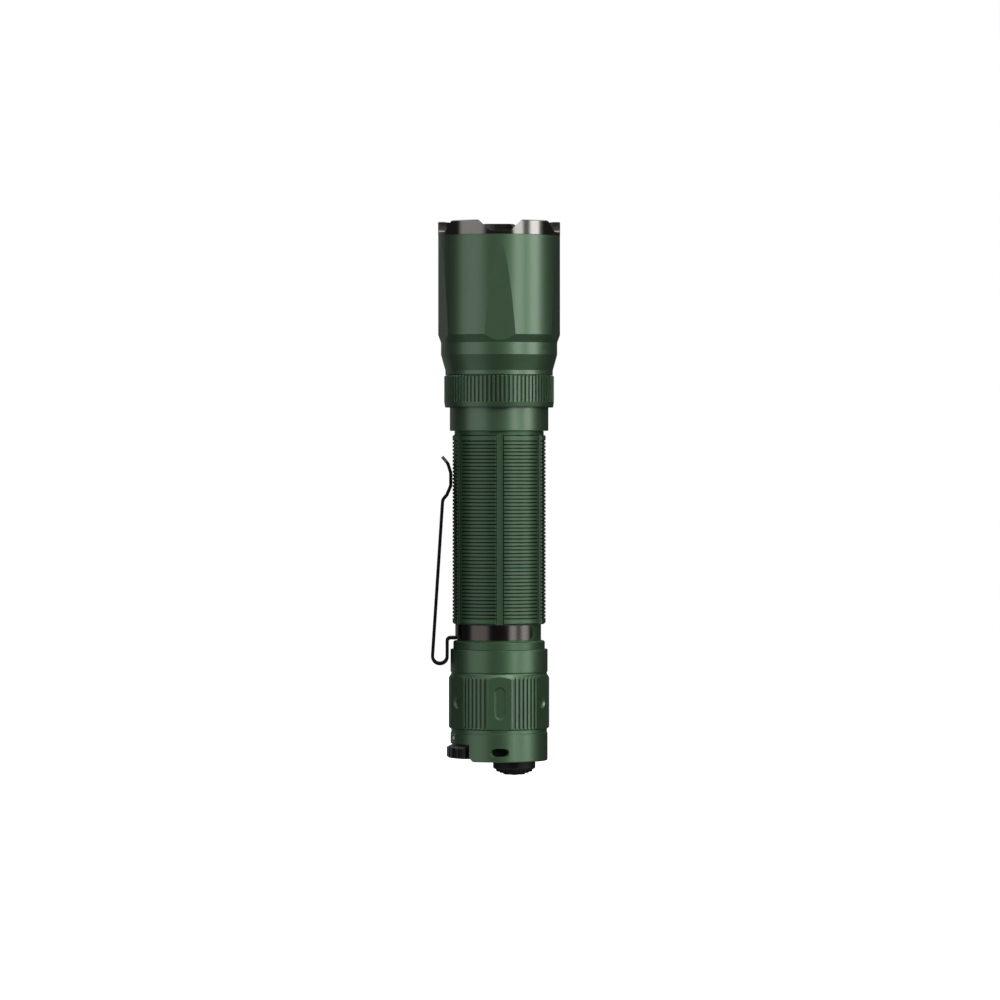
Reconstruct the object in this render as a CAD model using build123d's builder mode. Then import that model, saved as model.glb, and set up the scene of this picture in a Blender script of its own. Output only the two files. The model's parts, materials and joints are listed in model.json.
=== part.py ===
from build123d import *
import math
import os

# Tactical flashlight, millimetres. Z is the axis of the light and points to the head.
# The origin is on the axis, on the end face of the tail cap. The front is -Y.

# Driving dimensions
FIT = 0.10  # radial running clearance
FRONT, BACK = -90, 90  # directions about Z, degrees from +X

# Battery cell and tube
CELL_R, CELL_BOTTOM, CELL_TOP = 10.75, 20.6, 94.2
BORE_R = 10.95
TUBE_BOTTOM, TUBE_TOP = 15.9, 97.8
THREAD_R, THREAD_ROOT = 12.25, 11.85
SHOULDER_R, SHOULDER_BOTTOM, SHOULDER_TOP = 12.77, 31.15, 33.4
CLIP_GROOVE_R = 11.72
GRIP_R, GRIP_BOTTOM, GRIP_TOP = 13.0, 38.05, 90.75
RIB_PITCH, RIB_DEPTH, RIB_COUNT = 1.0046, 0.32, 50
RIB_GROOVE, RIB_ROOT = 0.42, 0.26  # groove widths at the surface and at the root
CHANNEL_COUNT, CHANNEL_WIDTH, CHANNEL_FLOOR = 6, 2.5, 12.5
NECK_GROOVE_R = 12.46

# Tail cap
CAP_R, CAP_TOP = 13.56, 31.05
CAP_BORE_R, WEB_TOP = 12.4, 6.0
BAND_R, BAND_BOTTOM, BAND_TOP = 14.07, 9.27, 23.1
FLAT_DEPTH, FLAT_COUNT = 0.36, 6
RIDGE_STEP, GROOVES_PER_GAP = 5.2, 6
BAND_MIDDLE = 16.4
SWITCH_X, SWITCH_R = 4.22, 5.92
STUD_RINGS, STUDS, STUD_HEIGHT = (4.85, 3.9, 2.85), 24, 0.5
LEVER_R, LEVER_INNER, LEVER_BOTTOM, LEVER_TOP = 14.63, 8.8, 0.8, 4.2
LEVER_SHOULDER_R, LEVER_SHOULDER_TOP = 13.2, 4.68
LEVER_FROM, LEVER_TO, LEVER_SWING = 166, 228, 36
WINDOW_MARGIN, WINDOW_INNER, WINDOW_TOP = 3.0, 8.5, 4.8
STEM_FROM, STEM_TO = 182, 210
SELECTOR_INNER, SELECTOR_BOTTOM, SELECTOR_TOP = 10.8, 6.05, 8.2
DETENT_R, DETENT_BALL_R = 11.55, 0.5
BOARD_R = 12.35

# Head
NECK_R, NECK_BOTTOM, NECK_TOP = 13.76, 91.88, 107.35
SPIGOT_R, SHELF_BOTTOM, SHELF_TOP = 13.4, 112.0, 117.0
SLEEVE_R, SLEEVE_BOTTOM, SLEEVE_TOP = 15.32, 98.4, 107.3
SLEEVE_RIDGES = 80
PORT_Z = 104.1
HEAD_R, HEAD_BOTTOM, HEAD_TOP = 17.0, 107.4, 146.2
COLLAR_R, COLLAR_BOTTOM, COLLAR_TOP = 16.22, 113.1, 116.43
FACET_COUNT, FACET_APEX, FACET_TILT = 5, 143.4, 1.26
BEZEL_R, BEZEL_TOP, VALLEY_BOTTOM = 17.03, 150.25, 147.15
LENS_R, LENS_BOTTOM, LENS_TOP = 15.3, 143.4, 145.9
LED_TOP, THROAT_Z, RIM_R = 119.4, 120.2, 14.8

# Pocket clip
STRIP_THICK, STRIP_WIDTH = 0.88, 6.0
CLIP_BAND_BOTTOM, CLIP_BAND_TOP, CLIP_OPENING = 33.8, 37.9, 42

os.makedirs("parts", exist_ok=True)


def outward(angle, radius, height):
    """Plane whose normal points away from the axis, with its local Y along +Z."""
    turn = math.radians(angle)
    away = (math.cos(turn), math.sin(turn), 0)
    origin = (radius * away[0], radius * away[1], height)
    return Plane(origin=origin, x_dir=(-away[1], away[0], 0), z_dir=away)


def radial(angle):
    """Plane through the axis: local X points away from the axis and local Y along +Z."""
    turn = math.radians(angle)
    away = (math.cos(turn), math.sin(turn), 0)
    return Plane(origin=(0, 0, 0), x_dir=away, z_dir=(away[1], -away[0], 0))


def turned(points, x=0.0):
    """Solid turned about the vertical axis at x from an outline of (radius, height) points."""
    with BuildPart() as solid:
        with BuildSketch(Plane(origin=(x, 0, 0), x_dir=(1, 0, 0), z_dir=(0, -1, 0))):
            with BuildLine():
                Polyline(*points, close=True)
            make_face()
        revolve(axis=Axis((x, 0, 0), (0, 0, 1)))
    return solid.part


def ring(inner, outer, bottom, top, x=0.0):
    """Plain turned ring, or a disc when the inner radius is zero."""
    return turned([(inner, bottom), (outer, bottom), (outer, top), (inner, top)], x)


def seal(middle, wire, height):
    """O-ring of the given middle radius and wire radius."""
    with BuildPart() as solid:
        with BuildSketch(Plane.XZ):
            with Locations((middle, height)):
                Circle(wire)
        revolve(axis=Axis.Z)
    return solid.part


def sector(inner, outer, start, end, bottom, top, taper=0.0):
    """Piece of a ring between two directions, optionally narrowing as it rises."""
    points = [(inner, start), (outer, start), (outer, end), (inner, end)]
    corners = [(r * math.cos(math.radians(a)), r * math.sin(math.radians(a))) for r, a in points]
    halfway = math.radians((start + end) / 2)
    outer_middle = (outer * math.cos(halfway), outer * math.sin(halfway))
    inner_middle = (inner * math.cos(halfway), inner * math.sin(halfway))
    with BuildPart() as solid:
        with BuildSketch(Plane.XY.offset(bottom)):
            with BuildLine():
                Line(corners[0], corners[1])
                ThreePointArc(corners[1], outer_middle, corners[2])
                Line(corners[2], corners[3])
                ThreePointArc(corners[3], inner_middle, corners[0])
            make_face()
        extrude(amount=top - bottom, taper=taper)
    return solid.part


def coil(radius, wire, bottom, top, turns, x=0.0, cone=0.0):
    """Coil spring whose wire stays between the two heights."""
    height = top - bottom - 2 * wire
    with BuildPart() as solid:
        with BuildLine() as path:
            Helix(height / turns, height, radius, center=(x, 0, bottom + wire), cone_angle=cone)
        start = Plane(origin=path.line @ 0, z_dir=path.line % 0)
        with BuildSketch(start):
            Circle(wire)
        sweep(path=path.line, is_frenet=True)
    return solid.part


def thread(bottom, top, pitch, crest, root):
    """Outline points of a plain ridged thread, going up."""
    points = []
    for turn in range(int((top - bottom) / pitch)):
        start = bottom + turn * pitch
        points.append((crest, start))
        points.append((crest, start + 0.3 * pitch))
        points.append((root, start + 0.5 * pitch))
        points.append((root, start + 0.8 * pitch))
    points.append((crest, bottom + int((top - bottom) / pitch) * pitch))
    return points


def notches(radius, depth, width, directions, bottom, top):
    """Tapered upright grooves, wider at the surface, as one cutting body."""
    with BuildPart() as solid:
        with BuildSketch(Plane.XY.offset(bottom)):
            for direction in directions:
                with Locations(Rotation(0, 0, direction)):
                    with Locations((radius - depth / 2 + 0.1, 0)):
                        Trapezoid(width * 1.25, depth + 0.2, 68, rotation=90)
        extrude(amount=top - bottom)
    return solid.part


# Battery tube ------------------------------------------------------------------------------

ribs = []
first_rib = GRIP_TOP - 1.71
for number in range(RIB_COUNT):
    groove = first_rib - number * RIB_PITCH
    ribs.append((GRIP_R, groove + RIB_GROOVE / 2))
    ribs.append((GRIP_R - RIB_DEPTH, groove + RIB_ROOT / 2))
    ribs.append((GRIP_R - RIB_DEPTH, groove - RIB_ROOT / 2))
    ribs.append((GRIP_R, groove - RIB_GROOVE / 2))
ribs.reverse()

tube_outline = [(BORE_R, TUBE_BOTTOM), (THREAD_ROOT, TUBE_BOTTOM)]
tube_outline += [(THREAD_ROOT, TUBE_BOTTOM + 0.6)]
tube_outline += thread(17.0, 25.0, 1.3, THREAD_R, THREAD_ROOT)
tube_outline += [(THREAD_R, 27.4), (THREAD_ROOT - 0.25, 27.4)]
tube_outline += [(THREAD_ROOT - 0.25, 28.4), (THREAD_R, 28.4), (THREAD_R, SHOULDER_BOTTOM)]
tube_outline += [(SHOULDER_R, SHOULDER_BOTTOM), (SHOULDER_R, SHOULDER_TOP - 0.3)]
tube_outline += [(SHOULDER_R - 0.3, SHOULDER_TOP), (CLIP_GROOVE_R, SHOULDER_TOP)]
tube_outline += [(CLIP_GROOVE_R, GRIP_BOTTOM), (GRIP_R - 0.45, GRIP_BOTTOM)]
tube_outline += [(GRIP_R, GRIP_BOTTOM + 0.45)]
tube_outline += ribs
tube_outline += [(GRIP_R, GRIP_TOP - 0.3), (GRIP_R - 0.35, GRIP_TOP), (NECK_GROOVE_R, GRIP_TOP)]
tube_outline += [(NECK_GROOVE_R, NECK_BOTTOM - 0.05), (THREAD_R, NECK_BOTTOM - 0.05)]
tube_outline += [(THREAD_R, TUBE_TOP - 0.4), (THREAD_R - 0.4, TUBE_TOP), (BORE_R, TUBE_TOP)]

grip_length = GRIP_TOP - GRIP_BOTTOM
channel_depth = GRIP_R - CHANNEL_FLOOR

with BuildPart() as battery_tube:
    add(turned(tube_outline))
    # Upright channels with sloping walls, evenly spaced, cut a little deeper than the ribs.
    for number in range(CHANNEL_COUNT):
        mouth = outward(FRONT + number * 360 / CHANNEL_COUNT, GRIP_R, GRIP_BOTTOM)
        with BuildSketch(Plane(mouth.origin, x_dir=mouth.x_dir, z_dir=(0, 0, 1))):
            with BuildLine():
                Polyline(
                    (-CHANNEL_WIDTH / 2 - 0.5, -0.5),
                    (-CHANNEL_WIDTH / 2 + channel_depth, channel_depth),
                    (CHANNEL_WIDTH / 2 - channel_depth, channel_depth),
                    (CHANNEL_WIDTH / 2 + 0.5, -0.5),
                    close=True,
                )
            make_face()
        extrude(amount=grip_length, mode=Mode.SUBTRACT)
battery_tube.part.label = "battery_tube"
export_step(battery_tube.part, "parts/battery_tube.step")

with BuildPart() as tail_o_ring:
    add(seal(11.97, 0.36, 27.9))
tail_o_ring.part.label = "tail_o_ring"
export_step(tail_o_ring.part, "parts/tail_o_ring.step")


# Battery cell ------------------------------------------------------------------------------

with BuildPart() as cell_can:
    add(ring(0, CELL_R - 0.2, CELL_BOTTOM, CELL_TOP))
    fillet(cell_can.faces().sort_by(Axis.Z)[0].edges(), 0.8)
cell_can.part.label = "cell_can"
export_step(cell_can.part, "parts/cell_can.step")

with BuildPart() as cell_wrap:
    add(ring(CELL_R - 0.2, CELL_R, CELL_BOTTOM + 1.0, CELL_TOP + 0.3))
cell_wrap.part.label = "cell_wrap"
export_step(cell_wrap.part, "parts/cell_wrap.step")

with BuildPart() as cell_insulator:
    add(ring(4.2, CELL_R - 0.2, CELL_TOP, CELL_TOP + 0.3))
cell_insulator.part.label = "cell_insulator"
export_step(cell_insulator.part, "parts/cell_insulator.step")

with BuildPart() as cell_button:
    add(ring(0, 3.8, CELL_TOP, CELL_TOP + 1.4))
    fillet(cell_button.faces().sort_by(Axis.Z)[-1].edges(), 0.5)
cell_button.part.label = "cell_button"
export_step(cell_button.part, "parts/cell_button.step")


# Pocket clip -------------------------------------------------------------------------------

clip_path = [
    (-12.05, 34.2),
    (-14.5, 34.2),
    (-14.5, 27.0),
    (-18.72, 27.0),
    (-15.75, 72.7),
    (-14.6, 74.0),
    (-13.5, 76.6),
    (-13.5, 80.2),
    (-14.3, 82.8),
    (-15.9, 84.7),
]
clip_bends = [0.9, 2.0, 2.0, 2.0, 0.9, 1.8, 2.5, 2.5]

with BuildPart() as pocket_clip:
    # Bent strip: run out from the band, U-bend, long arm, kink, contact and flared tip.
    with BuildSketch(Plane.XZ):
        with BuildLine():
            FilletPolyline(*clip_path, radius=clip_bends)
        trace(line_width=STRIP_THICK)
    extrude(amount=STRIP_WIDTH / 2, both=True)
    # Band that snaps into the groove of the tube, open towards +X.
    add(
        sector(
            CLIP_GROOVE_R + 0.06,
            12.25,
            CLIP_OPENING,
            360 - CLIP_OPENING,
            CLIP_BAND_BOTTOM,
            CLIP_BAND_TOP,
        )
    )
    band_ends = pocket_clip.edges().filter_by(GeomType.LINE).filter_by_position(Axis.X, 8, 12)
    fillet(band_ends.filter_by(lambda edge: edge.length < 1), 1.4)
    # Rounded corners of the strip's free tip.
    tip_ends = pocket_clip.edges().filter_by(GeomType.LINE).filter_by_position(Axis.Z, 84, 86)
    fillet(tip_ends.filter_by(lambda edge: edge.length < 1), 2.2)
pocket_clip.part.label = "pocket_clip"
export_step(pocket_clip.part, "parts/pocket_clip.step")


# Tail cap ----------------------------------------------------------------------------------

cap_outline = [
    (0, 0),
    (CAP_R - 0.25, 0),
    (CAP_R, 0.25),
    (CAP_R, 7.75),
    (CAP_R - 0.18, 7.9),
    (CAP_R - 0.18, 8.8),
    (BAND_R, BAND_BOTTOM),
    (BAND_R, BAND_TOP),
    (CAP_R - 0.06, 24.0),
    (CAP_R - 0.21, 24.25),
    (CAP_R - 0.21, 24.55),
    (CAP_R, 24.85),
    (CAP_R, CAP_TOP - 0.15),
    (CAP_R - 0.15, CAP_TOP),
    (CAP_BORE_R, CAP_TOP),
    (CAP_BORE_R, WEB_TOP),
    (0, WEB_TOP),
]
gap_middles = [FRONT + 30 + 60 * gap for gap in range(FLAT_COUNT)]
groove_offsets = [RIDGE_STEP * (k - (GROOVES_PER_GAP - 1) / 2) for k in range(GROOVES_PER_GAP)]
band_grooves = [middle + offset for middle in gap_middles for offset in groove_offsets]
window_from = LEVER_FROM - LEVER_SWING - WINDOW_MARGIN
window_to = LEVER_TO + WINDOW_MARGIN

with BuildPart() as tail_cap:
    add(turned(cap_outline))
    # Grip band: six flats with ridges between them.
    add(notches(BAND_R, 0.34, 0.72, band_grooves, 8.7, 24.3), mode=Mode.SUBTRACT)
    for number in range(FLAT_COUNT):
        flat = outward(FRONT + 60 * number, BAND_R - FLAT_DEPTH, BAND_MIDDLE)
        with BuildSketch(flat):
            Rectangle(9, 17)
        extrude(amount=1.0, mode=Mode.SUBTRACT)
        with BuildSketch(flat):
            if number % 2 == 0:
                SlotOverall(9.2, 3.1, rotation=90)
            else:
                Circle(1.65)
        extrude(amount=-0.48, taper=45, mode=Mode.SUBTRACT)
    # Switch hole with a seat for the button's flange.
    add(ring(0, SWITCH_R + FIT, -1, WEB_TOP + 1, SWITCH_X), mode=Mode.SUBTRACT)
    add(ring(0, 6.45, 4.1, WEB_TOP + 1, SWITCH_X), mode=Mode.SUBTRACT)
    # Lever window, open below, its lower rim bevelled, and the arc slot for the lever's stem.
    add(sector(WINDOW_INNER, 16, window_from, window_to, -1, WINDOW_TOP), mode=Mode.SUBTRACT)
    add(
        sector(WINDOW_INNER - 1.2, 17, window_from - 5.3, window_to + 5.3, 0, 1.2, taper=45),
        mode=Mode.SUBTRACT,
    )
    add(
        sector(10.8, 12.3, STEM_FROM - LEVER_SWING - 1, STEM_TO + 1, WINDOW_TOP - 1, WEB_TOP + 1),
        mode=Mode.SUBTRACT,
    )
    # Pocket for the detent spring and ball.
    with BuildSketch(Plane.XY.offset(WEB_TOP)):
        with Locations((0, DETENT_R)):
            Circle(DETENT_BALL_R + 0.05)
    extrude(amount=-3.4, mode=Mode.SUBTRACT)
    # Lanyard slot: in through the side and out through the end face.
    with BuildSketch(outward(FRONT, 9.6, 2.7)):
        SlotOverall(4.0, 2.2)
    extrude(amount=5, mode=Mode.SUBTRACT)
    with BuildSketch(outward(FRONT, CAP_R + 0.05, 2.7)):
        SlotOverall(5.8, 2.5)
    extrude(amount=-1.0, taper=42, mode=Mode.SUBTRACT)
    with BuildSketch(Plane.XY):
        with Locations((0, -11.0)):
            SlotOverall(4.0, 1.8)
    extrude(amount=2.7, mode=Mode.SUBTRACT)
tail_cap.part.label = "tail_cap"
export_step(tail_cap.part, "parts/tail_cap.step")


# Tail button and switch --------------------------------------------------------------------

def button_floor(radius):
    """Height of the button's shallow cone, under the studs."""
    return -2.32 - 0.41 * (5.67 - radius)


button_outline = [(SWITCH_R, -2.1), (5.62, -2.4)]
for radius in STUD_RINGS:
    button_outline.append((radius + 0.32, button_floor(radius + 0.32)))
    button_outline.append((radius + 0.14, button_floor(radius) - STUD_HEIGHT))
    button_outline.append((radius - 0.14, button_floor(radius) - STUD_HEIGHT))
    button_outline.append((radius - 0.32, button_floor(radius - 0.32)))

with BuildPart() as tail_button:
    with BuildSketch(Plane(origin=(SWITCH_X, 0, 0), x_dir=(1, 0, 0), z_dir=(0, -1, 0))):
        with BuildLine():
            Polyline(
                (2.3, -3.74),
                *reversed(button_outline),
                (SWITCH_R, 4.15),
                (6.3, 4.15),
                (6.3, 5.15),
                (2.2, 5.15),
                (2.2, 6.0),
                (0, 6.0),
                (0, -4.22),
            )
            ThreePointArc((0, -4.22), (1.2, -4.1), (2.3, -3.74))
        make_face()
    revolve(axis=Axis((SWITCH_X, 0, 0), (0, 0, 1)))
    # Radial cuts that part the rings into studs.
    for radius in STUD_RINGS:
        with BuildSketch(Plane.XY.offset(-5)):
            with Locations((SWITCH_X, 0)):
                with PolarLocations(radius, STUDS):
                    Rectangle(0.74, 0.09 * radius)
        extrude(amount=5 + button_floor(radius), mode=Mode.SUBTRACT)
tail_button.part.label = "tail_button"
export_step(tail_button.part, "parts/tail_button.step")

with BuildPart() as switch_plunger:
    add(ring(0, 1.6, 6.0, 9.6, SWITCH_X))
switch_plunger.part.label = "switch_plunger"
export_step(switch_plunger.part, "parts/switch_plunger.step")

with BuildPart() as button_spring:
    add(coil(3.4, 0.22, 5.2, 8.25, 3, SWITCH_X))
button_spring.part.label = "button_spring"
export_step(button_spring.part, "parts/button_spring.step")

with BuildPart() as click_switch:
    with BuildSketch(Plane.XY.offset(8.4)):
        with Locations((SWITCH_X, 0)):
            RectangleRounded(8.0, 8.0, 0.8)
    extrude(amount=4.2)
    add(ring(0, 1.75, 8.3, 11.6, SWITCH_X), mode=Mode.SUBTRACT)
click_switch.part.label = "click_switch"
export_step(click_switch.part, "parts/click_switch.step")

with BuildPart() as switch_carrier:
    add(ring(0, BOARD_R, 8.35, 12.6))
    with BuildSketch(Plane.XY.offset(8.35)):
        with Locations((SWITCH_X, 0)):
            RectangleRounded(8.1, 8.1, 0.8)
    extrude(amount=4.25, mode=Mode.SUBTRACT)
    # Weight-saving pocket on the far side from the switch.
    with BuildSketch(Plane.XY.offset(9.6)):
        with Locations((-6.0, 0)):
            RectangleRounded(6.5, 12, 1.2)
    extrude(amount=3.0, mode=Mode.SUBTRACT)
switch_carrier.part.label = "switch_carrier"
export_step(switch_carrier.part, "parts/switch_carrier.step")

with BuildPart() as switch_board:
    add(ring(0, BOARD_R, 12.6, 13.8))
switch_board.part.label = "switch_board"
export_step(switch_board.part, "parts/switch_board.step")

with BuildPart() as switch_retaining_ring:
    add(ring(9.6, BOARD_R, 13.8, 15.8))
    with BuildSketch(Plane.XY.offset(14.6)):
        with PolarLocations(10.2, 2):
            Rectangle(2.2, 1.6)
    extrude(amount=2, mode=Mode.SUBTRACT)
switch_retaining_ring.part.label = "switch_retaining_ring"
export_step(switch_retaining_ring.part, "parts/switch_retaining_ring.step")

with BuildPart() as tail_spring:
    add(coil(6.2, 0.45, 13.8, 20.5, 4, cone=-22))
tail_spring.part.label = "tail_spring"
export_step(tail_spring.part, "parts/tail_spring.step")


# Mode lever --------------------------------------------------------------------------------

lever_outline = [
    (LEVER_INNER, LEVER_BOTTOM),
    (LEVER_R - 0.45, LEVER_BOTTOM),
    (LEVER_R, LEVER_BOTTOM + 0.4),
    (LEVER_R, LEVER_TOP - 0.5),
    (LEVER_R - 0.95, LEVER_TOP),
    (LEVER_SHOULDER_R, LEVER_TOP),
    (LEVER_SHOULDER_R, LEVER_SHOULDER_TOP),
    (LEVER_INNER, LEVER_SHOULDER_TOP),
]
lever_grooves = [LEVER_TO - 10.2 * number for number in range(1, 6)]

with BuildPart() as mode_lever:
    add(turned(lever_outline))
    add(sector(1, 20, LEVER_FROM, LEVER_TO, 0, 6), mode=Mode.INTERSECT)
    add(notches(LEVER_R, 0.5, 0.9, lever_grooves, 0, 5), mode=Mode.SUBTRACT)
    fillet(mode_lever.edges().filter_by(Axis.Z).filter_by(lambda edge: edge.length > 3.3), 0.35)
    add(sector(10.95, 12.15, STEM_FROM, STEM_TO, LEVER_TOP, SELECTOR_BOTTOM))
mode_lever.part.label = "mode_lever"
export_step(mode_lever.part, "parts/mode_lever.step")

with BuildPart() as selector_ring:
    add(ring(SELECTOR_INNER, CAP_BORE_R - FIT, SELECTOR_BOTTOM, SELECTOR_TOP))
    # Track for the detent ball, with a deeper pocket at each of the three positions.
    add(
        sector(10.98, 12.12, BACK - 4, BACK + LEVER_SWING + 4, SELECTOR_BOTTOM - 1, 6.45),
        mode=Mode.SUBTRACT,
    )
    for position in range(3):
        with BuildSketch(Plane.XY.offset(6.0)):
            with Locations(Rotation(0, 0, BACK + position * LEVER_SWING / 2)):
                with Locations((DETENT_R, 0)):
                    Circle(0.55)
        extrude(amount=0.8, mode=Mode.SUBTRACT)
selector_ring.part.label = "selector_ring"
export_step(selector_ring.part, "parts/selector_ring.step")

with BuildPart() as detent_ball:
    with Locations((0, DETENT_R, 5.9)):
        Sphere(DETENT_BALL_R)
detent_ball.part.label = "detent_ball"
export_step(detent_ball.part, "parts/detent_ball.step")

with BuildPart() as detent_spring:
    add(coil(0.38, 0.12, 2.65, 5.38, 5).moved(Location((0, DETENT_R, 0))))
detent_spring.part.label = "detent_spring"
export_step(detent_spring.part, "parts/detent_spring.step")


# Neck and charging section -----------------------------------------------------------------

with BuildPart() as neck_housing:
    add(
        turned(
            [
                (THREAD_R + FIT, NECK_BOTTOM),
                (NECK_R - 0.2, NECK_BOTTOM),
                (NECK_R, NECK_BOTTOM + 0.2),
                (NECK_R, 100.5),
                (NECK_R - 0.65, 100.5),
                (NECK_R - 0.65, 101.3),
                (NECK_R, 101.3),
                (NECK_R, 106.35),
                (NECK_R - 0.65, 106.35),
                (NECK_R - 0.65, 107.15),
                (NECK_R, 107.15),
                (NECK_R, NECK_TOP),
                (SPIGOT_R, NECK_TOP),
                (SPIGOT_R, 109.6),
                (SPIGOT_R - 0.8, 109.6),
                (SPIGOT_R - 0.8, 110.6),
                (SPIGOT_R, 110.6),
                (SPIGOT_R, SHELF_TOP),
                (0, SHELF_TOP),
                (0, SHELF_BOTTOM),
                (11.0, SHELF_BOTTOM),
                (11.0, 100.7),
                (THREAD_R + FIT, 100.7),
            ]
        )
    )
    # Charging port window at the back.
    with BuildSketch(outward(BACK, 9.0, PORT_Z)):
        SlotOverall(9.3, 3.6)
    extrude(amount=6, mode=Mode.SUBTRACT)
    # Wire holes and screw holes in the shelf.
    with BuildSketch(Plane.XY.offset(SHELF_BOTTOM)):
        with PolarLocations(5.2, 2, start_angle=FRONT):
            Circle(0.9)
    extrude(amount=SHELF_TOP - SHELF_BOTTOM, mode=Mode.SUBTRACT)
    with BuildSketch(Plane.XY.offset(113.5)):
        with PolarLocations(7.6, 2):
            Circle(1.0)
    extrude(amount=SHELF_TOP - 113.5, mode=Mode.SUBTRACT)
neck_housing.part.label = "neck_housing"
export_step(neck_housing.part, "parts/neck_housing.step")

with BuildPart() as sleeve_o_rings:
    add(seal(13.49, 0.35, 100.9))
    add(seal(13.49, 0.35, 106.75))
sleeve_o_rings.part.label = "sleeve_o_rings"
export_step(sleeve_o_rings.part, "parts/sleeve_o_rings.step")

with BuildPart() as head_o_ring:
    add(seal(13.03, 0.38, 110.1))
head_o_ring.part.label = "head_o_ring"
export_step(head_o_ring.part, "parts/head_o_ring.step")

sleeve_directions = [number * 360 / SLEEVE_RIDGES for number in range(SLEEVE_RIDGES)]

with BuildPart() as charge_sleeve:
    add(
        turned(
            [
                (13.9, SLEEVE_BOTTOM + 0.2),
                (14.1, SLEEVE_BOTTOM),
                (SLEEVE_R - 0.3, SLEEVE_BOTTOM),
                (SLEEVE_R - 0.22, SLEEVE_BOTTOM + 0.15),
                (SLEEVE_R - 0.02, 99.8),
                (SLEEVE_R, 99.95),
                (SLEEVE_R, SLEEVE_TOP - 0.25),
                (SLEEVE_R - 0.25, SLEEVE_TOP),
                (13.9, SLEEVE_TOP),
            ]
        )
    )
    add(notches(SLEEVE_R, 0.32, 0.66, sleeve_directions, 99.95, 108), mode=Mode.SUBTRACT)
charge_sleeve.part.label = "charge_sleeve"
export_step(charge_sleeve.part, "parts/charge_sleeve.step")

with BuildPart() as usb_shell:
    with BuildSketch(outward(BACK, 6.2, PORT_Z)):
        SlotOverall(8.94, 3.26)
    extrude(amount=7.0)
    with BuildSketch(outward(BACK, 6.6, PORT_Z)):
        SlotOverall(8.34, 2.66)
    extrude(amount=7.0, mode=Mode.SUBTRACT)
usb_shell.part.label = "usb_shell"
export_step(usb_shell.part, "parts/usb_shell.step")

with BuildPart() as usb_tongue:
    with BuildSketch(outward(BACK, 6.6, PORT_Z)):
        Rectangle(6.6, 0.7)
    extrude(amount=5.4)
usb_tongue.part.label = "usb_tongue"
export_step(usb_tongue.part, "parts/usb_tongue.step")


# Driver and contacts -----------------------------------------------------------------------

with BuildPart() as head_spring:
    add(coil(3.2, 0.4, CELL_TOP + 1.42, 99.3, 2.5, cone=12))
head_spring.part.label = "head_spring"
export_step(head_spring.part, "parts/head_spring.step")

with BuildPart() as driver_retaining_ring:
    add(ring(9.6, THREAD_R + 0.05, 97.9, 99.3))
    with BuildSketch(Plane.XY.offset(97.9)):
        with PolarLocations(10.2, 2):
            Rectangle(2.2, 1.6)
    extrude(amount=0.8, mode=Mode.SUBTRACT)
driver_retaining_ring.part.label = "driver_retaining_ring"
export_step(driver_retaining_ring.part, "parts/driver_retaining_ring.step")

with BuildPart() as contact_board:
    add(ring(0, THREAD_R + 0.05, 99.3, 100.65))
contact_board.part.label = "contact_board"
export_step(contact_board.part, "parts/contact_board.step")

with BuildPart() as board_pins:
    with BuildSketch(Plane.XY.offset(100.65)):
        with PolarLocations(8.5, 3, start_angle=30):
            Circle(0.5)
    extrude(amount=0.6)
board_pins.part.label = "board_pins"
export_step(board_pins.part, "parts/board_pins.step")

with BuildPart() as driver_board:
    add(ring(0, 10.85, 101.25, 102.45))
driver_board.part.label = "driver_board"
export_step(driver_board.part, "parts/driver_board.step")

with BuildPart() as driver_inductor:
    with BuildSketch(Plane.XY.offset(102.45)):
        with Locations((-4.9, -1.6)):
            RectangleRounded(6.6, 6.6, 1.2)
    extrude(amount=4.6)
    chamfer(driver_inductor.faces().sort_by(Axis.Z)[-1].edges(), 0.5)
driver_inductor.part.label = "driver_inductor"
export_step(driver_inductor.part, "parts/driver_inductor.step")

with BuildPart() as driver_chips:
    with BuildSketch(Plane.XY.offset(102.45)):
        with Locations((4.6, 0.6)):
            Rectangle(4.9, 3.9)
        with Locations((4.6, -4.6)):
            Rectangle(3.0, 3.0)
        with GridLocations(2.4, 0, 2, 1):
            with Locations((-1.2, -8.3)):
                Rectangle(1.2, 2.0)
    extrude(amount=1.1)
driver_chips.part.label = "driver_chips"
export_step(driver_chips.part, "parts/driver_chips.step")

with BuildPart() as led_wires:
    with BuildSketch(Plane.XY.offset(102.45)):
        with PolarLocations(5.2, 2, start_angle=FRONT):
            Circle(0.6)
    extrude(amount=SHELF_TOP - 102.45)
led_wires.part.label = "led_wires"
export_step(led_wires.part, "parts/led_wires.step")


# Light engine ------------------------------------------------------------------------------

with BuildPart() as led_board:
    add(ring(0, 9.8, SHELF_TOP, 118.6))
    with BuildSketch(Plane.XY.offset(SHELF_TOP)):
        with PolarLocations(7.6, 2):
            Circle(1.0)
    extrude(amount=2, mode=Mode.SUBTRACT)
led_board.part.label = "led_board"
export_step(led_board.part, "parts/led_board.step")

with BuildPart() as led_board_screws:
    with BuildSketch(Plane.XY.offset(114.0)):
        with PolarLocations(7.6, 2):
            Circle(0.95)
    extrude(amount=4.6)
    with BuildSketch(Plane.XY.offset(118.6)):
        with PolarLocations(7.6, 2):
            Circle(1.55)
    extrude(amount=1.0)
    with BuildSketch(Plane.XY.offset(119.0)):
        with PolarLocations(7.6, 2):
            RegularPolygon(0.75, 6)
    extrude(amount=1, mode=Mode.SUBTRACT)
led_board_screws.part.label = "led_board_screws"
export_step(led_board_screws.part, "parts/led_board_screws.step")

with BuildPart() as led_emitter:
    with BuildSketch(Plane.XY.offset(118.6)):
        Rectangle(5.0, 5.0)
    extrude(amount=0.6)
led_emitter.part.label = "led_emitter"
export_step(led_emitter.part, "parts/led_emitter.step")

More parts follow.
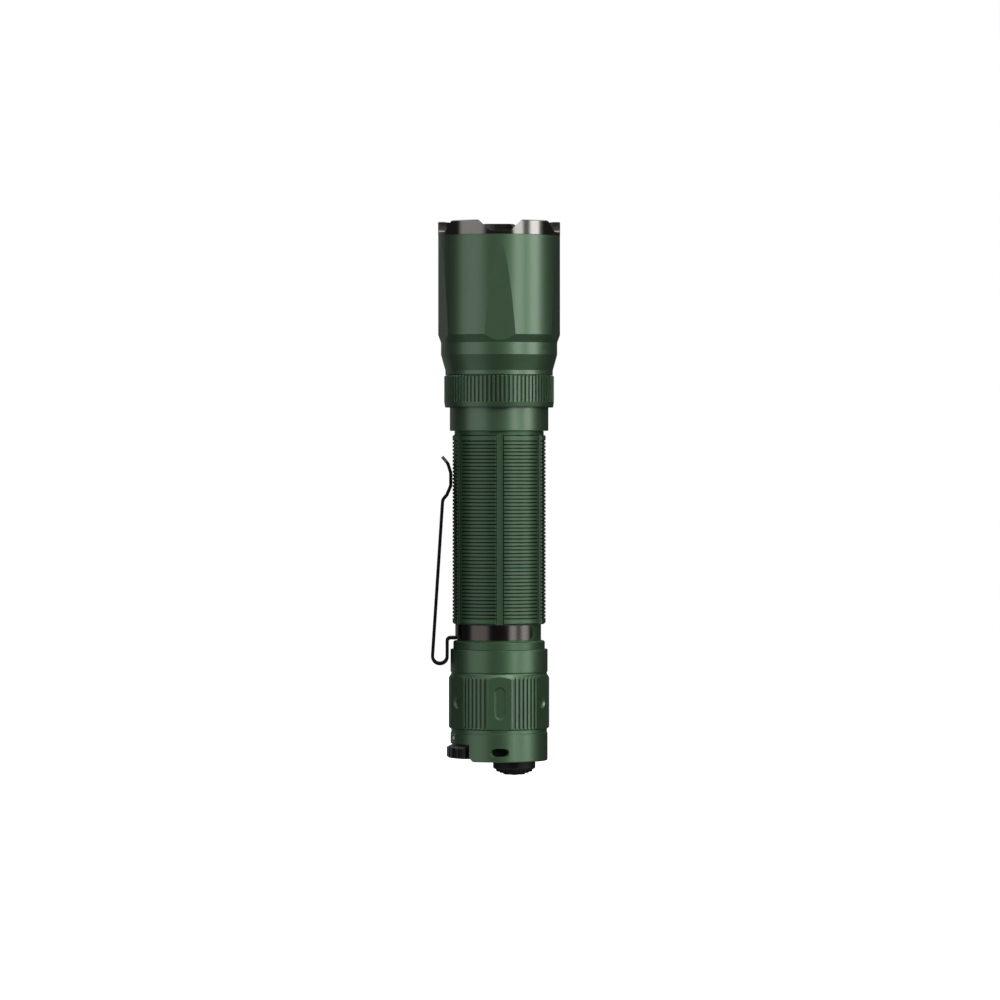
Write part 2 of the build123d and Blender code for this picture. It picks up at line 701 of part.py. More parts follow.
with BuildPart() as led_die:
    with BuildSketch(Plane.XY.offset(119.2)):
        RectangleRounded(3.6, 3.6, 0.3)
    extrude(amount=LED_TOP - 119.2)
led_die.part.label = "led_die"
export_step(led_die.part, "parts/led_die.step")

with BuildPart() as centering_ring:
    add(ring(3.8, 5.9, 118.6, THROAT_Z))
    chamfer(centering_ring.faces().sort_by(Axis.Z)[-1].edges().sort_by(SortBy.RADIUS)[0], 0.8)
centering_ring.part.label = "centering_ring"
export_step(centering_ring.part, "parts/centering_ring.step")

# The cup is a parabola whose focus lies on the emitter's surface.
rim_rise = LENS_BOTTOM - LED_TOP
focal = (math.sqrt(rim_rise**2 + RIM_R**2) - rim_rise) / 2


def cup_radius(height):
    """Radius of the parabolic cup at a height above the focus plane's vertex."""
    return math.sqrt(4 * focal * (height - LED_TOP + focal))


cup_points = [(cup_radius(z), z) for z in (THROAT_Z, 121.5, 124, 128, 133, 138, LENS_BOTTOM)]
with BuildPart() as reflector:
    with BuildSketch(Plane.XZ):
        with BuildLine():
            Spline(*cup_points)
            Polyline(cup_points[-1], (LENS_R, LENS_BOTTOM), (LENS_R, 142.4), (15.05, 141.9))
            Spline(*[(r + 0.95, z - 0.4) for r, z in reversed(cup_points[1:-1])])
            Line((15.05, 141.9), (cup_points[-2][0] + 0.95, cup_points[-2][1] - 0.4))
            Polyline(
                (cup_points[1][0] + 0.95, cup_points[1][1] - 0.4),
                (cup_points[0][0] + 1.0, THROAT_Z),
                cup_points[0],
            )
        make_face()
    revolve(axis=Axis.Z)
reflector.part.label = "reflector"
export_step(reflector.part, "parts/reflector.step")

with BuildPart() as lens:
    add(ring(0, LENS_R, LENS_BOTTOM, LENS_TOP))
    chamfer(lens.edges().filter_by(GeomType.CIRCLE), 0.25)
lens.part.label = "lens"
export_step(lens.part, "parts/lens.step")

with BuildPart() as lens_gasket:
    add(ring(14.2, LENS_R, LENS_TOP, 146.9))
lens_gasket.part.label = "lens_gasket"
export_step(lens_gasket.part, "parts/lens_gasket.step")


# Head housing and bezel --------------------------------------------------------------------

facet_drop = (FACET_APEX - 116.0) * math.tan(math.radians(FACET_TILT))

with BuildPart() as head_shell:
    add(
        turned(
            [
                (SPIGOT_R + 0.05, HEAD_BOTTOM),
                (14.85, HEAD_BOTTOM),
                (15.0, HEAD_BOTTOM + 0.15),
                (15.0, 108.7),
                (COLLAR_R, COLLAR_BOTTOM),
                (COLLAR_R, COLLAR_TOP),
                (HEAD_R, 118.63),
                (HEAD_R, HEAD_TOP),
                (16.15, HEAD_TOP),
                (16.15, 140.2),
                (15.45, 140.2),
                (15.45, 119.5),
                (12.0, 119.5),
                (12.0, SHELF_TOP),
                (SPIGOT_R + 0.05, SHELF_TOP),
            ]
        )
    )
    # Long facets that run out towards the bezel.
    for number in range(FACET_COUNT):
        with BuildSketch(radial(FRONT + number * 360 / FACET_COUNT)):
            with BuildLine():
                Polyline(
                    (HEAD_R, FACET_APEX),
                    (HEAD_R - facet_drop, 116.0),
                    (HEAD_R + 2, 116.0),
                    (HEAD_R + 2, FACET_APEX),
                    close=True,
                )
            make_face()
        extrude(amount=8, both=True, mode=Mode.SUBTRACT)
head_shell.part.label = "head_shell"
export_step(head_shell.part, "parts/head_shell.step")

with BuildPart() as strike_bezel:
    add(
        turned(
            [
                (15.45, 140.6),
                (16.05, 140.6),
                (16.05, HEAD_TOP),
                (BEZEL_R - 0.1, HEAD_TOP),
                (BEZEL_R, HEAD_TOP + 0.1),
                (BEZEL_R, BEZEL_TOP - 0.25),
                (BEZEL_R - 0.25, BEZEL_TOP),
                (15.3, BEZEL_TOP),
                (14.3, 148.2),
                (14.3, 146.9),
                (15.45, 146.9),
            ]
        )
    )
    # Rounded valleys between the five teeth.
    for number in range(FACET_COUNT):
        with BuildSketch(outward(FRONT + number * 360 / FACET_COUNT, 10, 0)):
            with BuildLine():
                valley = FilletPolyline(
                    (-9, BEZEL_TOP),
                    (-6.0, BEZEL_TOP),
                    (-2.8, VALLEY_BOTTOM),
                    (2.8, VALLEY_BOTTOM),
                    (6.0, BEZEL_TOP),
                    (9, BEZEL_TOP),
                    radius=[1.0, 2.4, 2.4, 1.0],
                )
                Polyline(valley @ 1, (9, 152), (-9, 152), valley @ 0)
            make_face()
        extrude(amount=10, mode=Mode.SUBTRACT)
strike_bezel.part.label = "strike_bezel"
export_step(strike_bezel.part, "parts/strike_bezel.step")
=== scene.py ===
"""Looks of the tactical flashlight: materials, painted marks, studio, camera."""

import json
import math

import bmesh
import bpy
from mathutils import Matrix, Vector


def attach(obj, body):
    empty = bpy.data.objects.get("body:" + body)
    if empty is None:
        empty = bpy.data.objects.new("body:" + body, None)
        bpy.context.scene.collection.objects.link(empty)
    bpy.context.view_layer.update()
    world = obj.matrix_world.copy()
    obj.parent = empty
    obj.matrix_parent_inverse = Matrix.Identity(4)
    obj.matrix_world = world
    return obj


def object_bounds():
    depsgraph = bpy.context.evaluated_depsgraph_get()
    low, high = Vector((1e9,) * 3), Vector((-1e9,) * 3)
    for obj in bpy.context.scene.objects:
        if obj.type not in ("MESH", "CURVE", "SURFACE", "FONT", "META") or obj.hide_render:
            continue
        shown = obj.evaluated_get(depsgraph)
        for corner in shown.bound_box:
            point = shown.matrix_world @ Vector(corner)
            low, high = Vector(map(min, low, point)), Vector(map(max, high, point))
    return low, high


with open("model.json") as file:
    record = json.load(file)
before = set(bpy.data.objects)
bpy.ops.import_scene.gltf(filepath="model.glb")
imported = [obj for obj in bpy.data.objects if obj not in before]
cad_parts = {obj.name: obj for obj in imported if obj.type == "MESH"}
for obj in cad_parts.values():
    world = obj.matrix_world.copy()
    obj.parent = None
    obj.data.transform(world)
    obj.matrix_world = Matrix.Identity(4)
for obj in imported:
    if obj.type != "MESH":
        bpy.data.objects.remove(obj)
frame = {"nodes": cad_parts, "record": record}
cad_low, cad_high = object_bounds()
nodes = frame["nodes"]

MM = 0.001

# Camera, in millimetres and degrees.
EYE_DISTANCE = 1550
FIELD = 279.1  # width of the view at the light's axis
SENSOR = 36
EYE_HEIGHT = 89.4
VIEW_MIDDLE = 72.6  # height on the axis that the camera is aimed at
CAMERA_TURN = -1.0
AXIS_OFFSET = 0.25  # sideways step of the camera

# Sockets of the Mix node when it mixes colours.
MIX_DARK, MIX_LIGHT, MIX_RESULT = 6, 7, 2

# How alike the rounded and the plain normal are beside an edge and on it.
FLAT_ALIKE, EDGE_ALIKE = 0.995, 0.90

# Distances from the axis and heights, in millimetres, between which painted shade darkens the
# grooves.
RIB_CREST, RIB_ROOT = 12.97, 12.7
CHANNEL_LOW, CHANNEL_HIGH = 12.58, 12.64
GRIP_START, GRIP_FULL = 38.1, 38.5
SLEEVE_CREST, SLEEVE_ROOT = 15.2, 15.0
BAND_CREST, BAND_ROOT = 13.99, 13.74
BAND_FOOT, BAND_FOOT_FULL = 9.35, 9.5
BAND_TOP, BAND_TOP_FULL = 23.15, 22.95
SLOT_MOUTH, SLOT_DEPTH = 13.3, 12.8
SLOT_TOP, SLOT_TOP_FULL = 5.4, 5.0
RIDGES_END, RIDGES_FULL = 16.6, 15.4  # degrees from the middle of a ridged stretch
SLEEVE_SHARE, BAND_SHARE = 0.8, 0.75  # how dark the painted shade in the grooves gets
# Colour of the painted shade in grooves and recesses.
GROOVE_SHADE_GREEN = (0.008, 0.018, 0.010)
EDGE_WEAR_AND_HIGHLIGHT = 1.5  # brightness of paler edges, partly wear and partly painted highlight, as a multiple of the dye's
INNER_BLACK = (0.012, 0.0115, 0.011)
INNER_START, INNER_FULL = -0.1, -0.3  # how far a bezel wall turns to the axis


# Materials ---------------------------------------------------------------------------------


class Nodes:
    """Short ways to add nodes to a node tree."""

    def __init__(self, tree):
        self.tree = tree

    def join(self, value, target):
        """Links a socket to an input, or sets the input to a plain value."""
        if isinstance(value, bpy.types.NodeSocket):
            self.tree.links.new(value, target)
        else:
            target.default_value = value

    def add(self, kind, **links):
        node = self.tree.nodes.new(kind)
        for socket, value in links.items():
            self.join(value, node.inputs[socket.replace("_", " ")])
        return node

    def sum(self, operation, *values):
        """Result of a Math node."""
        node = self.tree.nodes.new("ShaderNodeMath")
        node.operation = operation
        for target, value in zip(node.inputs, values):
            self.join(value, target)
        return node.outputs["Value"]

    def ramp(self, value, start, end, low=0.0, high=1.0):
        """Smooth step from low to high as the value goes from start to end."""
        node = self.add("ShaderNodeMapRange", Value=value)
        node.interpolation_type = "SMOOTHSTEP"
        for socket, number in zip(node.inputs[1:5], (start, end, low, high)):
            socket.default_value = number
        return node.outputs["Result"]


class Shader(Nodes):
    """A new material with its Principled shader."""

    def __init__(self, name, **values):
        self.material = bpy.data.materials.new(name)
        self.material.use_nodes = True
        super().__init__(self.material.node_tree)
        self.surface = self.tree.nodes["Principled BSDF"]
        self.place = self.add("ShaderNodeTexCoord").outputs["Object"]
        for socket, value in values.items():
            self.surface.inputs[socket.replace("_", " ")].default_value = value

    def noise(self, size, detail=3.0, stretch=(1, 1, 1)):
        """Noise whose features are about size millimetres across."""
        scaled = self.add("ShaderNodeMapping", Vector=self.place, Scale=stretch)
        node = self.add("ShaderNodeTexNoise", Vector=scaled.outputs["Vector"])
        node.inputs["Scale"].default_value = 1 / (size * MM)
        node.inputs["Detail"].default_value = detail
        return node.outputs["Fac"]

    def spread(self, value, low, high, start=0.3, end=0.7):
        """Turns a 0..1 pattern into numbers between low and high."""
        node = self.add("ShaderNodeMapRange", Value=value)
        node.inputs["From Min"].default_value = start
        node.inputs["From Max"].default_value = end
        node.inputs["To Min"].default_value = low
        node.inputs["To Max"].default_value = high
        return node.outputs["Result"]

    def tint(self, value, dark, light):
        """Colour between dark and light, chosen by a 0..1 pattern."""
        node = self.add("ShaderNodeMix")
        node.data_type = "RGBA"
        self.join(value, node.inputs["Factor"])
        for index, colour in ((MIX_DARK, dark), (MIX_LIGHT, light)):
            if not isinstance(colour, bpy.types.NodeSocket):
                colour = (*colour, 1)
            self.join(colour, node.inputs[index])
        return node.outputs[MIX_RESULT]

    def edges(self, radius):
        """Mask that is 1 along sharp edges, within a radius in millimetres."""
        rounded = self.add("ShaderNodeBevel", Radius=radius * MM)
        rounded.samples = 4
        plain = self.add("ShaderNodeNewGeometry")
        alike = self.vector("DOT_PRODUCT", rounded.outputs["Normal"], plain.outputs["Normal"])
        return self.ramp(alike.outputs["Value"], FLAT_ALIKE, EDGE_ALIKE)

    def vector(self, operation, *values):
        """Vector Math node."""
        node = self.tree.nodes.new("ShaderNodeVectorMath")
        node.operation = operation
        for target, value in zip(node.inputs, values):
            self.join(value, target)
        return node

    def level(self):
        """The place with its height left out."""
        return self.vector("MULTIPLY", self.place, (1, 1, 0)).outputs["Vector"]

    def reach(self):
        """Distance from the light's axis, in metres."""
        return self.vector("LENGTH", self.level()).outputs["Value"]

    def facing_out(self):
        """1 on a wall that faces away from the axis, -1 on one that faces it, 0 on a level face."""
        away = self.vector("NORMALIZE", self.level()).outputs["Vector"]
        normal = self.place.node.outputs["Normal"]
        return self.vector("DOT_PRODUCT", normal, away).outputs["Value"]

    def height(self):
        """Height above the tail's end face, in metres."""
        return self.add("ShaderNodeSeparateXYZ", Vector=self.place).outputs["Z"]

    def set(self, socket, value):
        self.tree.links.new(value, self.surface.inputs[socket])

    def relief(self, height, depth, edge=0.0):
        """Bump of a given depth in millimetres, over edges rounded by a small radius."""
        bump = self.add("ShaderNodeBump", Height=height, Distance=depth * MM, Strength=1.0)
        if edge:
            rounded = self.add("ShaderNodeBevel", Radius=edge * MM)
            rounded.samples = 4
            self.tree.links.new(rounded.outputs["Normal"], bump.inputs["Normal"])
        self.set("Normal", bump.outputs["Normal"])


def anodised(name, dark, light, rough=0.46, gloss=1.0, shade=1.0, groove_shade=None):
    """Bead-blasted and hard-anodised aluminium: fine grain, faint cloudiness, paler edges that are
    partly wear and partly painted highlight.

    The shade factor darkens a part's whole colour: painted shade, standing in for less light
    falling on that part.
    The groove function, when given, marks grooves where painted shade turns the colour nearly
    black.
    """
    # Painted shade: the whole colour is darkened for parts meant to look less lit.
    dark, light = [shade * c for c in dark], [shade * c for c in light]
    shader = Shader(name, Metallic=0.93, Coat_Weight=gloss, Coat_Roughness=0.27, Coat_IOR=1.7)
    cloud = shader.noise(9.0)
    grain = shader.noise(0.16, detail=4.0)
    body = shader.tint(cloud, dark, light)
    # Paler edges: partly wear, partly a painted highlight along the edges.
    colour = shader.tint(shader.edges(0.06), body, [EDGE_WEAR_AND_HIGHLIGHT * c for c in light])
    # Painted shade: grooves and recesses turn nearly black, where shade would fall.
    if groove_shade:
        colour = shader.tint(groove_shade(shader), colour, GROOVE_SHADE_GREEN)
    shader.set("Base Color", colour)
    shader.set("Roughness", shader.spread(grain, rough - 0.04, rough + 0.05))
    shader.relief(grain, 0.004, edge=0.04)
    return shader.material


def tube_groove_shade(shader):
    """Painted shade in the grooves between the ribs of the grip, but not in its upright channels.
    """
    distance, height = shader.reach(), shader.height()
    groove = shader.ramp(distance, RIB_CREST * MM, RIB_ROOT * MM)
    above_channel = shader.ramp(distance, CHANNEL_LOW * MM, CHANNEL_HIGH * MM)
    on_grip = shader.ramp(height, GRIP_START * MM, GRIP_FULL * MM)
    return shader.sum("MULTIPLY", shader.sum("MULTIPLY", groove, above_channel), on_grip)


def sleeve_groove_shade(shader):
    """Painted shade in the grooves between the fine ridges of the charging sleeve."""
    return shader.ramp(shader.reach(), SLEEVE_CREST * MM, SLEEVE_ROOT * MM, 0.0, SLEEVE_SHARE)


def cap_groove_shade(shader):
    """Painted shade in the upright grooves of the tail cap's band and inside the lanyard slot."""
    distance, height = shader.reach(), shader.height()
    split = shader.add("ShaderNodeSeparateXYZ", Vector=shader.place)
    around = shader.sum("ARCTAN2", split.outputs["Y"], split.outputs["X"])
    sixth = math.pi / 6
    aside = shader.sum("ABSOLUTE", shader.sum("WRAP", around, sixth, -sixth))
    ridged = shader.ramp(aside, math.radians(RIDGES_END), math.radians(RIDGES_FULL))
    deep = shader.ramp(distance, BAND_CREST * MM, BAND_ROOT * MM, 0.0, BAND_SHARE)
    groove = shader.sum("MULTIPLY", deep, ridged)
    on_band = shader.ramp(height, BAND_FOOT * MM, BAND_FOOT_FULL * MM)
    below_top = shader.ramp(height, BAND_TOP * MM, BAND_TOP_FULL * MM)
    band = shader.sum("MULTIPLY", shader.sum("MULTIPLY", groove, on_band), below_top)
    inside = shader.ramp(distance, SLOT_MOUTH * MM, SLOT_DEPTH * MM)
    below_slot_top = shader.ramp(height, SLOT_TOP * MM, SLOT_TOP_FULL * MM)
    slot = shader.sum("MULTIPLY", inside, below_slot_top)
    return shader.sum("MAXIMUM", band, slot)


def coated_steel(name, dark, light, rough, grain_size=0.25):
    """Steel with a dark vapour coating over fine turning marks. Returns the shader."""
    shader = Shader(name, Metallic=1.0)
    turning = shader.noise(grain_size, detail=3.0, stretch=(0.15, 0.15, 3.0))
    cloud = shader.noise(5.0)
    shader.set("Base Color", shader.tint(cloud, dark, light))
    shader.set("Roughness", shader.spread(turning, rough - 0.03, rough + 0.04))
    shader.relief(turning, 0.0002, edge=0.05)
    return shader


def bezel_steel(name):
    """Polished dark steel whose inner walls are left black."""
    shader = coated_steel(name, (0.27, 0.256, 0.246), (0.30, 0.285, 0.273), 0.11)
    polished = shader.surface.inputs["Base Color"].links[0].from_socket
    inner = shader.ramp(shader.facing_out(), INNER_START, INNER_FULL)
    shader.set("Base Color", shader.tint(inner, polished, INNER_BLACK))
    return shader.material


def rubber(name, dark, light, rough=0.55):
    """Moulded rubber with a spark-eroded skin."""
    shader = Shader(name, Specular_IOR_Level=0.42)
    skin = shader.noise(0.22, detail=5.0)
    shader.set("Base Color", shader.tint(skin, dark, light))
    shader.set("Roughness", shader.spread(skin, rough - 0.08, rough + 0.08))
    shader.relief(skin, 0.012, edge=0.08)
    return shader.material


def plastic(name, dark, light, rough=0.45):
    """Moulded plastic with a light texture."""
    shader = Shader(name)
    skin = shader.noise(0.5, detail=3.0)
    shader.set("Base Color", shader.tint(skin, dark, light))
    shader.set("Roughness", shader.spread(skin, rough - 0.06, rough + 0.06))
    shader.relief(skin, 0.006, edge=0.05)
    return shader.material


def metal(name, dark, light, rough, grain=0.2, stretch=(1, 1, 1)):
    """Bare or plated metal with brushed or turned grain."""
    shader = Shader(name, Metallic=1.0)
    lines = shader.noise(grain, detail=3.0, stretch=stretch)
    shader.set("Base Color", shader.tint(lines, dark, light))
    shader.set("Roughness", shader.spread(lines, rough - 0.05, rough + 0.07))
    shader.relief(lines, 0.002, edge=0.05)
    return shader.material


def clear_glass(name):
    """Coated optical glass with the faintest waviness."""
    shader = Shader(
        name,
        Base_Color=(0.93, 0.97, 0.96, 1),
        Transmission_Weight=1.0,
        IOR=1.5,
        Coat_Weight=0.3,
        Coat_Tint=(0.75, 0.85, 1.0, 1),
    )
    wave = shader.noise(12.0)
    shader.set("Roughness", shader.spread(wave, 0.0, 0.015))
    return shader.material


def circuit(name):
    """Solder mask with copper tracks under it."""
    shader = Shader(name, Coat_Weight=0.4)
    cells = shader.add("ShaderNodeTexVoronoi", Vector=shader.place)
    cells.distance = "CHEBYCHEV"
    cells.feature = "DISTANCE_TO_EDGE"
    cells.inputs["Scale"].default_value = 1 / (1.7 * MM)
    tracks = shader.spread(cells.outputs["Distance"], 1.0, 0.0, 0.04, 0.07)
    shader.set("Base Color", shader.tint(tracks, (0.010, 0.060, 0.025), (0.030, 0.140, 0.055)))
    shader.set("Roughness", shader.spread(tracks, 0.35, 0.28, 0, 1))
    shader.relief(tracks, 0.02)
    return shader.material


def phosphor(name):
    """Grainy yellow phosphor over the emitter chip."""
    shader = Shader(name, Subsurface_Weight=0.1)
    grain = shader.noise(0.08, detail=4.0)
    shader.set("Base Color", shader.tint(grain, (0.72, 0.50, 0.03), (0.92, 0.74, 0.10)))
    shader.set("Roughness", shader.spread(grain, 0.5, 0.75))
    shader.relief(grain, 0.01)
    return shader.material


def paint(name):
    """Pale laser-etched and filled marking."""
    shader = Shader(name)
    speck = shader.noise(0.12, detail=3.0)
    shader.set("Base Color", shader.tint(speck, (0.66, 0.68, 0.66), (0.85, 0.86, 0.85)))
    shader.set("Roughness", shader.spread(speck, 0.5, 0.7))
    shader.relief(speck, 0.004)
    return shader.material


GREEN_DARK, GREEN_LIGHT = (0.096, 0.190, 0.101), (0.105, 0.206, 0.110)
CLIP_DARK, CLIP_LIGHT = (0.115, 0.106, 0.100), (0.125, 0.115, 0.109)

finishes = {
    "green_anodised": anodised("green_anodised", GREEN_DARK, GREEN_LIGHT),
    "dark_steel": bezel_steel("dark_steel"),
    "clip_steel": coated_steel("clip_steel", CLIP_DARK, CLIP_LIGHT, 0.19).material,
    "black_rubber": rubber("black_rubber", (0.006, 0.006, 0.0075), (0.012, 0.012, 0.014)),
    "black_metal": anodised("black_metal", (0.05, 0.047, 0.05), (0.06, 0.056, 0.06), 0.3, 0.6),
    "seal_rubber": rubber("seal_rubber", (0.010, 0.010, 0.010), (0.018, 0.018, 0.018), 0.4),
    "clear_glass": clear_glass("clear_glass"),
    "reflector_mirror": metal("reflector_mirror", (0.86, 0.87, 0.88), (0.9, 0.9, 0.91), 0.07, 6.0),
    "white_plastic": plastic("white_plastic", (0.70, 0.70, 0.67), (0.80, 0.80, 0.78)),
    "black_plastic": plastic("black_plastic", (0.012, 0.012, 0.013), (0.024, 0.024, 0.026)),
    "phosphor": phosphor("phosphor"),
    "circuit_board": circuit("circuit_board"),
    "copper_board": metal("copper_board", (0.60, 0.28, 0.16), (0.72, 0.36, 0.22), 0.3),
    "gold_contact": metal("gold_contact", (0.72, 0.50, 0.20), (0.86, 0.62, 0.27), 0.22),
    "brass": metal("brass", (0.55, 0.40, 0.17), (0.68, 0.50, 0.24), 0.3, stretch=(1, 1, 4)),
    "steel": metal("steel", (0.42, 0.42, 0.43), (0.56, 0.56, 0.57), 0.28),
    "cell_core": metal("cell_core", (0.45, 0.45, 0.46), (0.60, 0.60, 0.61), 0.32),
    "cell_wrap": plastic("cell_wrap", (0.015, 0.03, 0.06), (0.02, 0.04, 0.08), 0.25),
    "wire_insulation": plastic("wire_insulation", (0.32, 0.02, 0.02), (0.42, 0.03, 0.03), 0.4),
}

for part in frame["record"]["subparts"]:
    mesh = nodes[part["node"]].data
    mesh.materials.clear()
    mesh.materials.append(finishes[part["material_slot"]])

# Green parts with their own coat gloss, painted shade in their grooves, and a shade factor that
# darkens some parts as painted shade for less light falling on them.
greens = {
    "battery_tube": {"rough": 0.5, "gloss": 0.35, "shade": 0.84, "groove_shade": tube_groove_shade},
    "tail_cap": {"gloss": 0.55, "shade": 0.97, "groove_shade": cap_groove_shade},
    "neck_housing": {"gloss": 0.9, "shade": 0.9},
    "charge_sleeve": {"gloss": 0.7, "shade": 0.95, "groove_shade": sleeve_groove_shade},
}
for node, values in greens.items():
    nodes[node].data.materials[0] = anodised("green_" + node, GREEN_DARK, GREEN_LIGHT, **values)


# Position marks ----------------------------------------------------------------------------

CAP_RADIUS = 13.56
MARK_LIFT = 0.015  # how far the patches reach to each side of the metal's surface
MARK_COUNT = 3
MARK_STEP = 18  # degrees between the lever's positions
MARK_HEIGHT = 6.4
MARK_FIRST = 199.5  # direction of the first mark, degrees from +X
SPOT_WIDTH, SPOT_TALL = 1.5, 0.95
BAR_WIDTH, BAR_TALL = 1.9, 0.2
BAR_OFFSET = 0.97  # from the middle of the spot to the middle of a bar
BAR_SHORTER = 0.5  # what each next pair of bars loses in width
SPOT_CORNERS, BAR_CORNERS = 24, 4


def on_cap(bm, radius, direction, height, width, tall, rounded):
    """Adds a small patch that follows the cap's round side: an ellipse or a bar."""
    count = SPOT_CORNERS if rounded else BAR_CORNERS
    ring = []
    for number in range(count):
        angle = 2 * math.pi * (number + 0.5) / count
        reach = 1.0 if rounded else math.sqrt(2)
        across = 0.5 * width * reach * math.cos(angle)
        up = 0.5 * tall * reach * math.sin(angle)
        turn = math.radians(direction) + across / radius
        point = Vector((radius * math.cos(turn), radius * math.sin(turn), height + up))
        ring.append(bm.verts.new(point * MM))
    face = bm.faces.new(ring)
    grown = bmesh.ops.extrude_face_region(bm, geom=[face])
    for vert in (item for item in grown["geom"] if isinstance(item, bmesh.types.BMVert)):
        outward = Vector((vert.co.x, vert.co.y, 0)).normalized()
        vert.co += outward * 2 * MARK_LIFT * MM


def position_marks():
    """A spot between two bars for each of the lever's three positions."""
    radius = CAP_RADIUS - MARK_LIFT
    bm = bmesh.new()
    for position in range(MARK_COUNT):
        direction = MARK_FIRST - MARK_STEP * position
        on_cap(bm, radius, direction, MARK_HEIGHT, SPOT_WIDTH, SPOT_TALL, True)
        for side in (-1, 1):
            height = MARK_HEIGHT + BAR_OFFSET * side
            width = BAR_WIDTH - BAR_SHORTER * position
            on_cap(bm, radius, direction, height, width, BAR_TALL, False)
    bmesh.ops.recalc_face_normals(bm, faces=bm.faces)
    mesh = bpy.data.meshes.new("position_marks")
    bm.to_mesh(mesh)
    bm.free()
    marks = bpy.data.objects.new("position_marks", mesh)
    bpy.context.scene.collection.objects.link(marks)
    mesh.materials.append(paint("mark_paint"))
    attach(marks, "tail_cap")


position_marks()


# Studio ------------------------------------------------------------------------------------

TOP_SHARE = 0.15  # brightness of the light boxes straight above, as a share of the rest
BOX_RISE, BOX_FALL = 24, 30  # degrees over which a box fades in at its foot and out at its head
BOUNCE_START, BOUNCE_FULL = -36, -60  # elevations between which the floor's light fades in
FLOOR_RADIUS = 1.3  # metres
FLOOR_CORNERS = 96
FLOOR_DROP = 26.0  # millimetres under the light, so that the tail cap has room to come off
FLOOR_GLOW = 0.96


class Studio(Nodes):
    """Soft surroundings of upright light boxes, placed by their direction from the object.

    Directions are degrees round the axis from the camera's side, positive to the right.
    The camera itself sees plain white.
    """

    def __init__(self, ambient):
        world = bpy.data.worlds.new("studio")
        world.use_nodes = True
        bpy.context.scene.world = world
        super().__init__(world.node_tree)
        towards = self.add("ShaderNodeTexCoord").outputs["Generated"]
        axes = self.add("ShaderNodeSeparateXYZ", Vector=towards)
        back = self.sum("MULTIPLY", axes.outputs["Y"], -1.0)
        self.round = self.sum("ARCTAN2", axes.outputs["X"], back)
        self.up = self.sum("ARCSINE", axes.outputs["Z"])
        self.total = ambient

    def light(self, pattern, brightness):
        self.total = self.sum("MULTIPLY_ADD", pattern, brightness, self.total)

    def box(self, middle, width, soft, brightness, foot=-36, head=48):
        """Upright box with soft sides that stands from a foot to a head elevation."""
        turned = self.sum("SUBTRACT", self.round, math.radians(middle))
        wrapped = self.sum("WRAP", turned, math.pi, -math.pi)
        aside = self.sum("ABSOLUTE", wrapped)
        outer = math.radians(width / 2 + soft / 2)
        inner = math.radians(width / 2 - soft / 2)
        across = self.ramp(aside, outer, inner)
        rise = self.ramp(self.up, math.radians(foot), math.radians(foot + BOX_RISE))
        gone = math.radians(head + BOX_FALL)
        fall = self.ramp(self.up, math.radians(head), gone, 1.0, TOP_SHARE)
        tall = self.sum("MULTIPLY", rise, fall)
        self.light(self.sum("MULTIPLY", across, tall), brightness)

    def bounce(self, brightness):
        """Light from well below, in place of what a pale floor throws up."""
        start, full = math.radians(BOUNCE_START), math.radians(BOUNCE_FULL)
        self.light(self.ramp(self.up, start, full), brightness)

    def finish(self):
        seen = self.add("ShaderNodeBackground", Color=(1, 1, 1, 1), Strength=1.0)
        around = self.add("ShaderNodeBackground", Color=(1, 1, 1, 1), Strength=self.total)
        ray = self.add("ShaderNodeLightPath")
        choice = self.add("ShaderNodeMixShader", Fac=ray.outputs["Is Camera Ray"])
        self.tree.links.new(around.outputs["Background"], choice.inputs[1])
        self.tree.links.new(seen.outputs["Background"], choice.inputs[2])
        output = self.tree.nodes["World Output"]
        self.tree.links.new(choice.outputs["Shader"], output.inputs["Surface"])


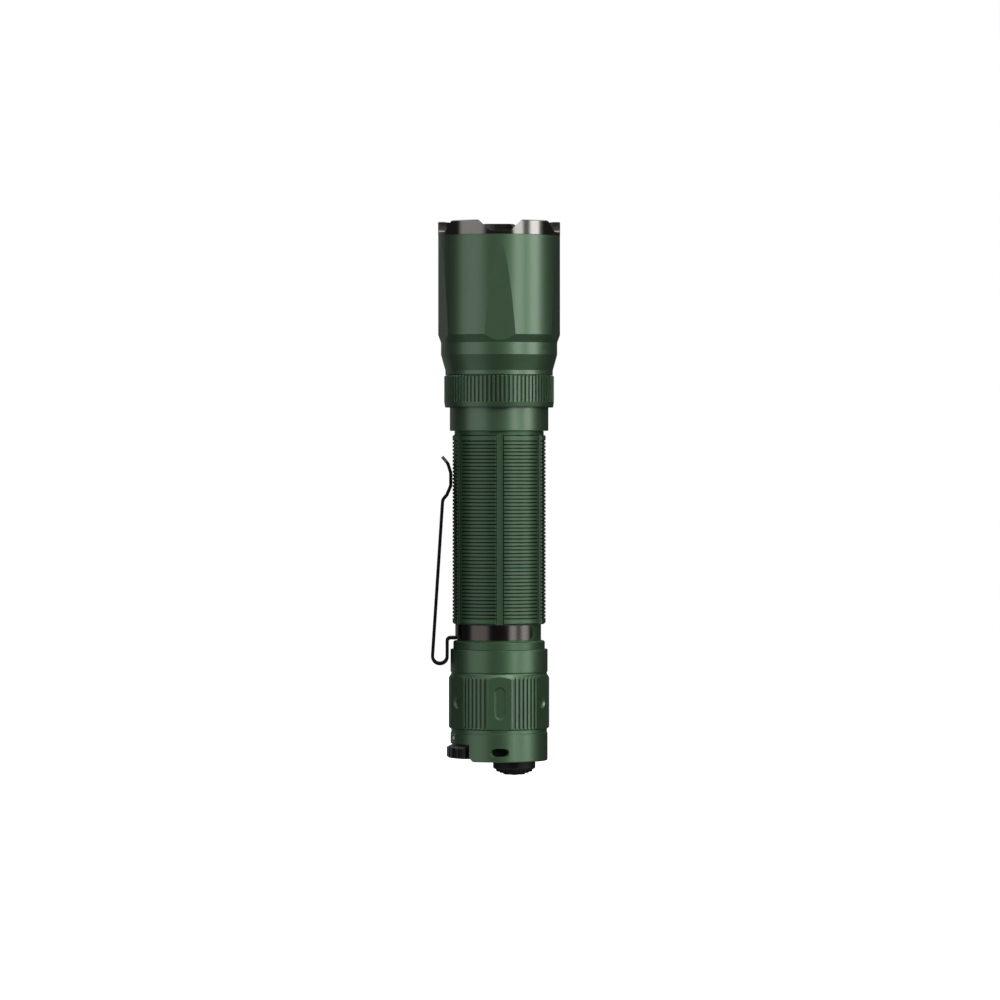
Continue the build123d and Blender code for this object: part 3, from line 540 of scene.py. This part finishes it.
studio = Studio(ambient=0.03)
studio.box(middle=36, width=18, soft=7, brightness=2.0, foot=-17)  # key, near edge
studio.box(middle=57, width=62, soft=10, brightness=0.28)  # key, between its edges
studio.box(middle=70, width=21, soft=9, brightness=3.2, foot=-14, head=4)  # key, far edge
studio.box(middle=-55, width=50, soft=13, brightness=0.62)  # fill
studio.box(middle=6, width=64, soft=24, brightness=1.15, foot=10)  # above the camera
studio.box(middle=30, width=32, soft=12, brightness=1.8, foot=8)  # above the key's near edge
studio.box(middle=-146, width=40, soft=20, brightness=0.1)  # left rim
studio.box(middle=180, width=24, soft=20, brightness=0.08)  # back
studio.box(middle=180, width=130, soft=40, brightness=1.2, foot=26)  # above the back
studio.bounce(0.3)
studio.finish()


def floor():
    """Pale round floor, as bright as the surroundings and seen through from below."""
    shader = Shader("floor_paint", Roughness=0.9, Base_Color=(0.55, 0.55, 0.55, 1))
    shader.surface.inputs["Emission Color"].default_value = (1, 1, 1, 1)
    shader.surface.inputs["Emission Strength"].default_value = FLOOR_GLOW
    facing = shader.add("ShaderNodeNewGeometry").outputs["Backfacing"]
    clear = shader.add("ShaderNodeBsdfTransparent")
    mix = shader.add("ShaderNodeMixShader", Fac=facing)
    shader.tree.links.new(shader.surface.outputs["BSDF"], mix.inputs[1])
    shader.tree.links.new(clear.outputs["BSDF"], mix.inputs[2])
    output = shader.tree.nodes["Material Output"]
    shader.tree.links.new(mix.outputs["Shader"], output.inputs["Surface"])
    bm = bmesh.new()
    bmesh.ops.create_circle(bm, cap_ends=True, segments=FLOOR_CORNERS, radius=FLOOR_RADIUS)
    mesh = bpy.data.meshes.new("floor")
    bm.to_mesh(mesh)
    bm.free()
    mesh.materials.append(shader.material)
    ground = bpy.data.objects.new("floor", mesh)
    ground.location.z = cad_low.z - FLOOR_DROP * MM
    bpy.context.scene.collection.objects.link(ground)
    ground.visible_glossy = False
    ground.visible_diffuse = False


floor()

lens = bpy.data.cameras.new("camera")
lens.sensor_width = SENSOR
lens.lens = SENSOR * EYE_DISTANCE / FIELD
camera = bpy.data.objects.new("camera", lens)
turn = math.radians(CAMERA_TURN)
camera.location.x = (EYE_DISTANCE * math.sin(turn) + AXIS_OFFSET) * MM
camera.location.y = -EYE_DISTANCE * math.cos(turn) * MM
camera.location.z = EYE_HEIGHT * MM
pitch = math.atan((VIEW_MIDDLE - EYE_HEIGHT) / EYE_DISTANCE)
camera.rotation_euler = (math.pi / 2 + pitch, 0, turn)
lens.clip_start = 0.05
lens.clip_end = 20
bpy.context.scene.collection.objects.link(camera)
bpy.context.scene.camera = camera
bpy.context.scene.view_settings.view_transform = "Standard"
